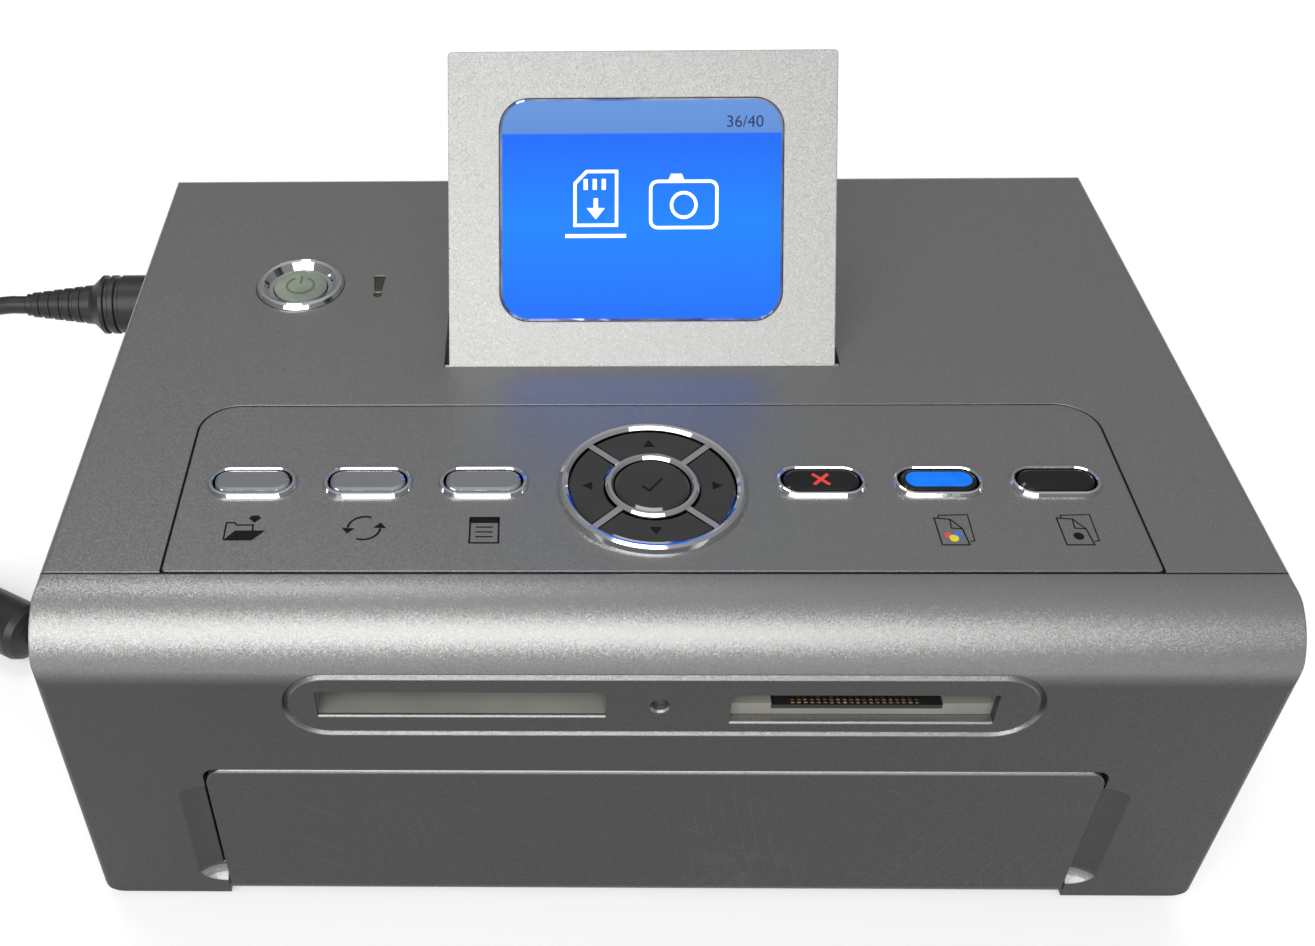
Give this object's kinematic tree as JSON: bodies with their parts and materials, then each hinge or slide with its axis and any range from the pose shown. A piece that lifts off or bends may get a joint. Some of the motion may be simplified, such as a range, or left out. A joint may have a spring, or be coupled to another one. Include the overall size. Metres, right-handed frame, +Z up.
{
  "type": "compact photo printer",
  "caption": "Low box-shaped photo printer with a tilting colour display, oval keys round a four-way pad, card slots, a drop-down paper door, its inner print mechanism and a coiled power lead.",
  "frame": {"origin": "on the table under the middle of the printer's body, without its power lead", "axes": "+X towards the printer's right side seen from the front, +Y towards its rear, +Z up"},
  "size_m": [0.2741, 0.2115, 0.1192],
  "materials": {
    "silver_paint": "fine metal-flake satin lacquer on plastic",
    "bright_silver": "bright metal-flake satin lacquer",
    "chrome": "mirror plating",
    "black_gloss": "piano black",
    "blue_gloss": "transparent blue over a bright ground",
    "green_grey": "smooth",
    "display_glass": "clear window over a lit blue display",
    "smoked_lens": "smoked and clear",
    "dark_plastic": "fine grain",
    "light_plastic": "smooth",
    "soft_rubber": "dull",
    "steel": "bright",
    "aluminium": "extruded",
    "brass": "turned",
    "board": "printed circuit board"
  },
  "bodies": {
    "casing": {"base_shell": "dark_plastic", "top_cover": "silver_paint", "front_fascia": "silver_paint", "control_panel": "silver_paint", "rubber_feet": "soft_rubber", "case_screws": "steel", "door_pins": "steel", "lcd_pins": "steel", "key_rims": "chrome", "pad_ring": "chrome", "power_ring": "chrome", "power_switch_board": "board", "alert_lens": "smoked_lens", "status_light": "light_plastic", "key_board": "board", "card_guide": "light_plastic", "card_socket": "dark_plastic", "card_reader_board": "board", "paper_tunnel": "dark_plastic", "left_plate": "steel", "right_plate": "steel", "motor": "steel", "exit_guide": "dark_plastic", "ribbon_cartridge": "dark_plastic", "main_board": "board", "power_board": "board", "dc_plug": "soft_rubber", "lead_front": "soft_rubber", "lead_side": "soft_rubber", "lead_coil": "soft_rubber", "lead_tail": "soft_rubber", "ferrite_choke": "dark_plastic", "power_adapter": "dark_plastic"},
    "display": {"lcd_bezel": "bright_silver", "lcd_back": "silver_paint", "lcd_window": "display_glass", "lcd_module": "dark_plastic"},
    "paper_door": {"front_door": "silver_paint"},
    "side_door": {"cartridge_door": "silver_paint"},
    "print_head": {"thermal_head": "aluminium"},
    "folder_key_body": {"folder_key": "chrome"},
    "rotate_key_body": {"rotate_key": "chrome"},
    "menu_key_body": {"menu_key": "chrome"},
    "cancel_key_body": {"cancel_key": "black_gloss"},
    "colour_copy_key_body": {"colour_copy_key": "blue_gloss"},
    "mono_copy_key_body": {"mono_copy_key": "black_gloss"},
    "pad_up_key_body": {"pad_up_key": "black_gloss"},
    "pad_left_key_body": {"pad_left_key": "black_gloss"},
    "pad_down_key_body": {"pad_down_key": "black_gloss"},
    "pad_right_key_body": {"pad_right_key": "black_gloss"},
    "pad_centre_key_body": {"pad_centre_key": "black_gloss"},
    "power_key_body": {"power_key": "green_grey"},
    "platen_roller_body": {"platen_roller": "soft_rubber"},
    "feed_roller_body": {"feed_roller": "steel"},
    "pinch_roller_body": {"pinch_roller": "soft_rubber"},
    "pick_roller_body": {"pick_roller": "soft_rubber"},
    "idler_gear_body": {"idler_gear": "light_plastic"},
    "motor_pinion_body": {"motor_pinion": "brass"},
    "supply_spool_body": {"supply_spool": "light_plastic"},
    "takeup_spool_body": {"takeup_spool": "light_plastic"}
  },
  "joints": [
    {"name": "display_tilt", "type": "hinge", "parent": "casing", "child": "display", "pos_m": [0, -0.0004, 0.072], "axis": [1, 0, 0], "range_deg": [-52.1, 27.9]},
    {"name": "paper_door_hinge", "type": "hinge", "parent": "casing", "child": "paper_door", "pos_m": [0, -0.0665, 0.0039], "axis": [1, 0, 0], "range_deg": [0, 90]},
    {"name": "side_door_hinge", "type": "hinge", "parent": "casing", "child": "side_door", "pos_m": [0.0988, 0, 0.0344], "axis": [0, 1, 0], "range_deg": [0, 95]},
    {"name": "head_lift", "type": "slide", "parent": "casing", "child": "print_head", "axis": [0, 0, 1], "range_m": [0, 0.0015]},
    {"name": "folder_key_press", "type": "slide", "parent": "casing", "child": "folder_key_body", "axis": [0, 0, -1], "range_m": [0, 0.0008], "stiffness_N_per_m": 600, "springref_m": -0.0005},
    {"name": "rotate_key_press", "type": "slide", "parent": "casing", "child": "rotate_key_body", "axis": [0, 0, -1], "range_m": [0, 0.0008], "stiffness_N_per_m": 600, "springref_m": -0.0005},
    {"name": "menu_key_press", "type": "slide", "parent": "casing", "child": "menu_key_body", "axis": [0, 0, -1], "range_m": [0, 0.0008], "stiffness_N_per_m": 600, "springref_m": -0.0005},
    {"name": "cancel_key_press", "type": "slide", "parent": "casing", "child": "cancel_key_body", "axis": [0, 0, -1], "range_m": [0, 0.0008], "stiffness_N_per_m": 600, "springref_m": -0.0005},
    {"name": "colour_copy_key_press", "type": "slide", "parent": "casing", "child": "colour_copy_key_body", "axis": [0, 0, -1], "range_m": [0, 0.0008], "stiffness_N_per_m": 600, "springref_m": -0.0005},
    {"name": "mono_copy_key_press", "type": "slide", "parent": "casing", "child": "mono_copy_key_body", "axis": [0, 0, -1], "range_m": [0, 0.0008], "stiffness_N_per_m": 600, "springref_m": -0.0005},
    {"name": "pad_up_key_press", "type": "slide", "parent": "casing", "child": "pad_up_key_body", "axis": [0, 0, -1], "range_m": [0, 0.0008], "stiffness_N_per_m": 600, "springref_m": -0.0005},
    {"name": "pad_left_key_press", "type": "slide", "parent": "casing", "child": "pad_left_key_body", "axis": [0, 0, -1], "range_m": [0, 0.0008], "stiffness_N_per_m": 600, "springref_m": -0.0005},
    {"name": "pad_down_key_press", "type": "slide", "parent": "casing", "child": "pad_down_key_body", "axis": [0, 0, -1], "range_m": [0, 0.0008], "stiffness_N_per_m": 600, "springref_m": -0.0005},
    {"name": "pad_right_key_press", "type": "slide", "parent": "casing", "child": "pad_right_key_body", "axis": [0, 0, -1], "range_m": [0, 0.0008], "stiffness_N_per_m": 600, "springref_m": -0.0005},
    {"name": "pad_centre_key_press", "type": "slide", "parent": "casing", "child": "pad_centre_key_body", "axis": [0, 0, -1], "range_m": [0, 0.0008], "stiffness_N_per_m": 600, "springref_m": -0.0005},
    {"name": "power_key_press", "type": "slide", "parent": "casing", "child": "power_key_body", "axis": [0, 0, -1], "range_m": [0, 0.0008], "stiffness_N_per_m": 600, "springref_m": -0.0005},
    {"name": "platen_spin", "type": "hinge", "parent": "casing", "child": "platen_roller_body", "pos_m": [0, 0.012, 0.03], "axis": [1, 0, 0], "continuous": true},
    {"name": "feed_spin", "type": "hinge", "parent": "casing", "child": "feed_roller_body", "pos_m": [0, 0.056, 0.033], "axis": [1, 0, 0], "continuous": true},
    {"name": "pinch_spin", "type": "hinge", "parent": "casing", "child": "pinch_roller_body", "pos_m": [0, 0.056, 0.0403], "axis": [1, 0, 0], "continuous": true},
    {"name": "pick_spin", "type": "hinge", "parent": "casing", "child": "pick_roller_body", "pos_m": [0, -0.031, 0.0298], "axis": [1, 0, 0], "continuous": true},
    {"name": "idler_spin", "type": "hinge", "parent": "casing", "child": "idler_gear_body", "pos_m": [0, 0.03644, 0.03422], "axis": [1, 0, 0], "continuous": true},
    {"name": "motor_spin", "type": "hinge", "parent": "casing", "child": "motor_pinion_body", "pos_m": [0, -0.00061, 0.03985], "axis": [1, 0, 0], "continuous": true},
    {"name": "supply_spin", "type": "hinge", "parent": "casing", "child": "supply_spool_body", "pos_m": [0, -0.012, 0.048], "axis": [1, 0, 0], "continuous": true},
    {"name": "takeup_spin", "type": "hinge", "parent": "casing", "child": "takeup_spool_body", "pos_m": [0, 0.038, 0.048], "axis": [1, 0, 0], "continuous": true}
  ],
  "couplings": [
    {"joint": "feed_spin", "follows": "platen_spin", "ratio": 1.7647},
    {"joint": "pinch_spin", "follows": "platen_spin", "ratio": -2.3529},
    {"joint": "idler_spin", "follows": "platen_spin", "ratio": -0.9375},
    {"joint": "motor_spin", "follows": "platen_spin", "ratio": -3},
    {"joint": "supply_spin", "follows": "platen_spin", "ratio": -0.72917},
    {"joint": "takeup_spin", "follows": "platen_spin", "ratio": -1.0938}
  ]
}
